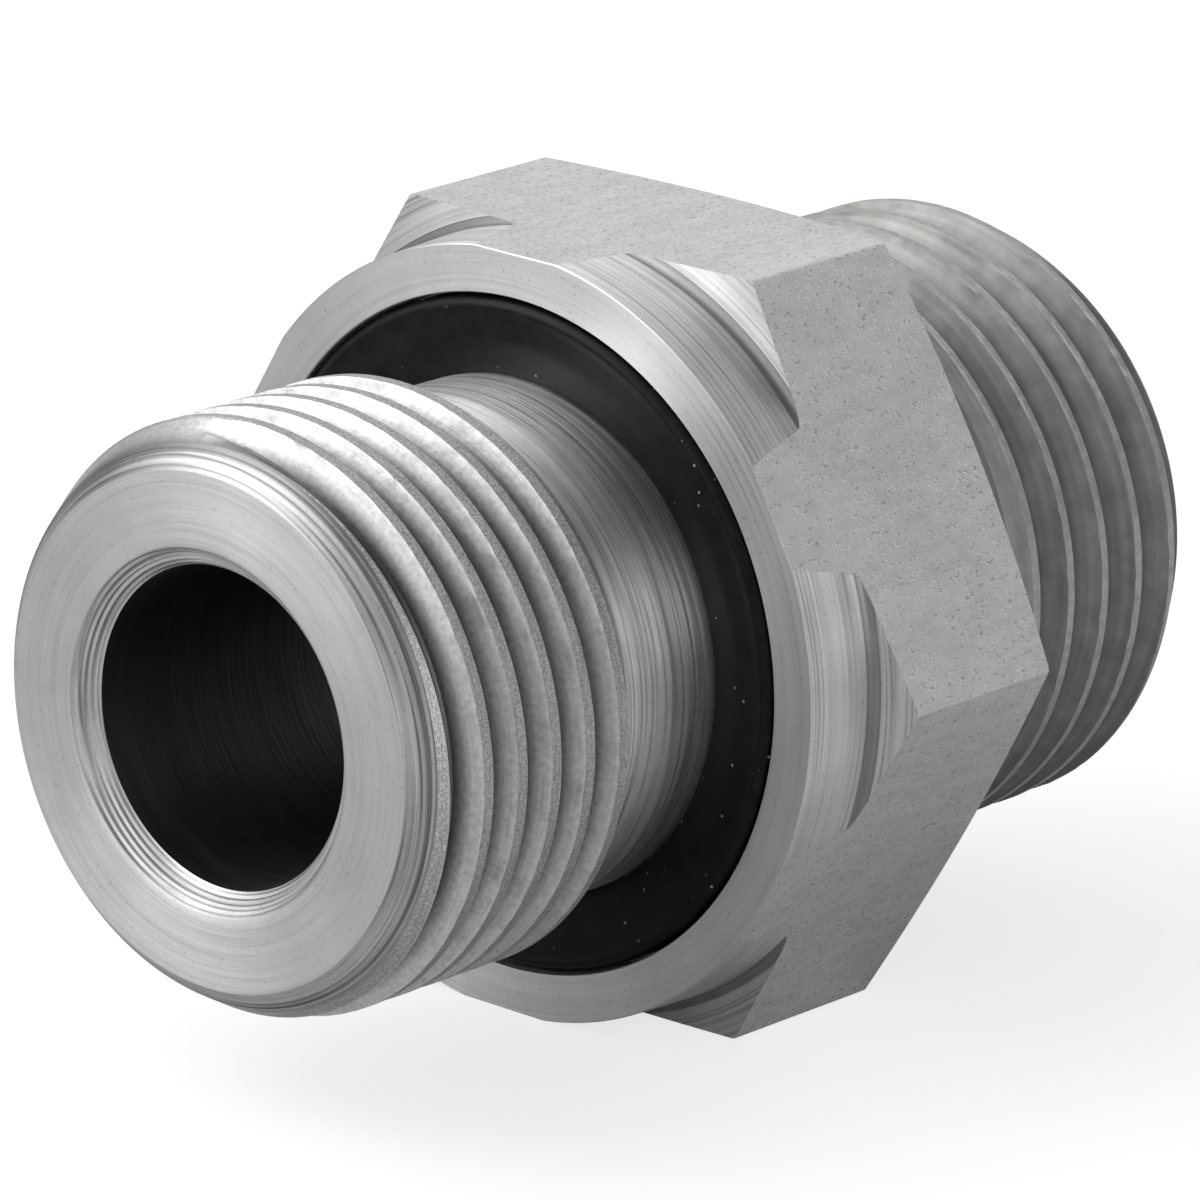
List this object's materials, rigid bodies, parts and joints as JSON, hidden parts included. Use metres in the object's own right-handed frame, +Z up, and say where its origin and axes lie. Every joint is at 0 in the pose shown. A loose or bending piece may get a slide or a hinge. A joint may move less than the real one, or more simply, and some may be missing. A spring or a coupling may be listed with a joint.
{
  "type": "male stud connector",
  "caption": "Straight male stud connector body: hexagon, parallel stud thread with a captive sealing ring, and a threaded cone end for a compression tube joint.",
  "frame": {"origin": "on the surface that the lower hexagon flat rests on, below the middle of the length", "axes": "+X along the bore from the stud end to the tube end, +Z up, square to the hexagon's upper flat"},
  "size_m": [0.0316, 0.0252, 0.0218],
  "materials": {
    "steel": "bare turned steel with fine tool lines and drawn hexagon flats",
    "rubber": "black elastomer, slightly glossy"
  },
  "bodies": {
    "root": {"connector_body": "steel", "seal_ring": "rubber"}
  },
  "joints": []
}
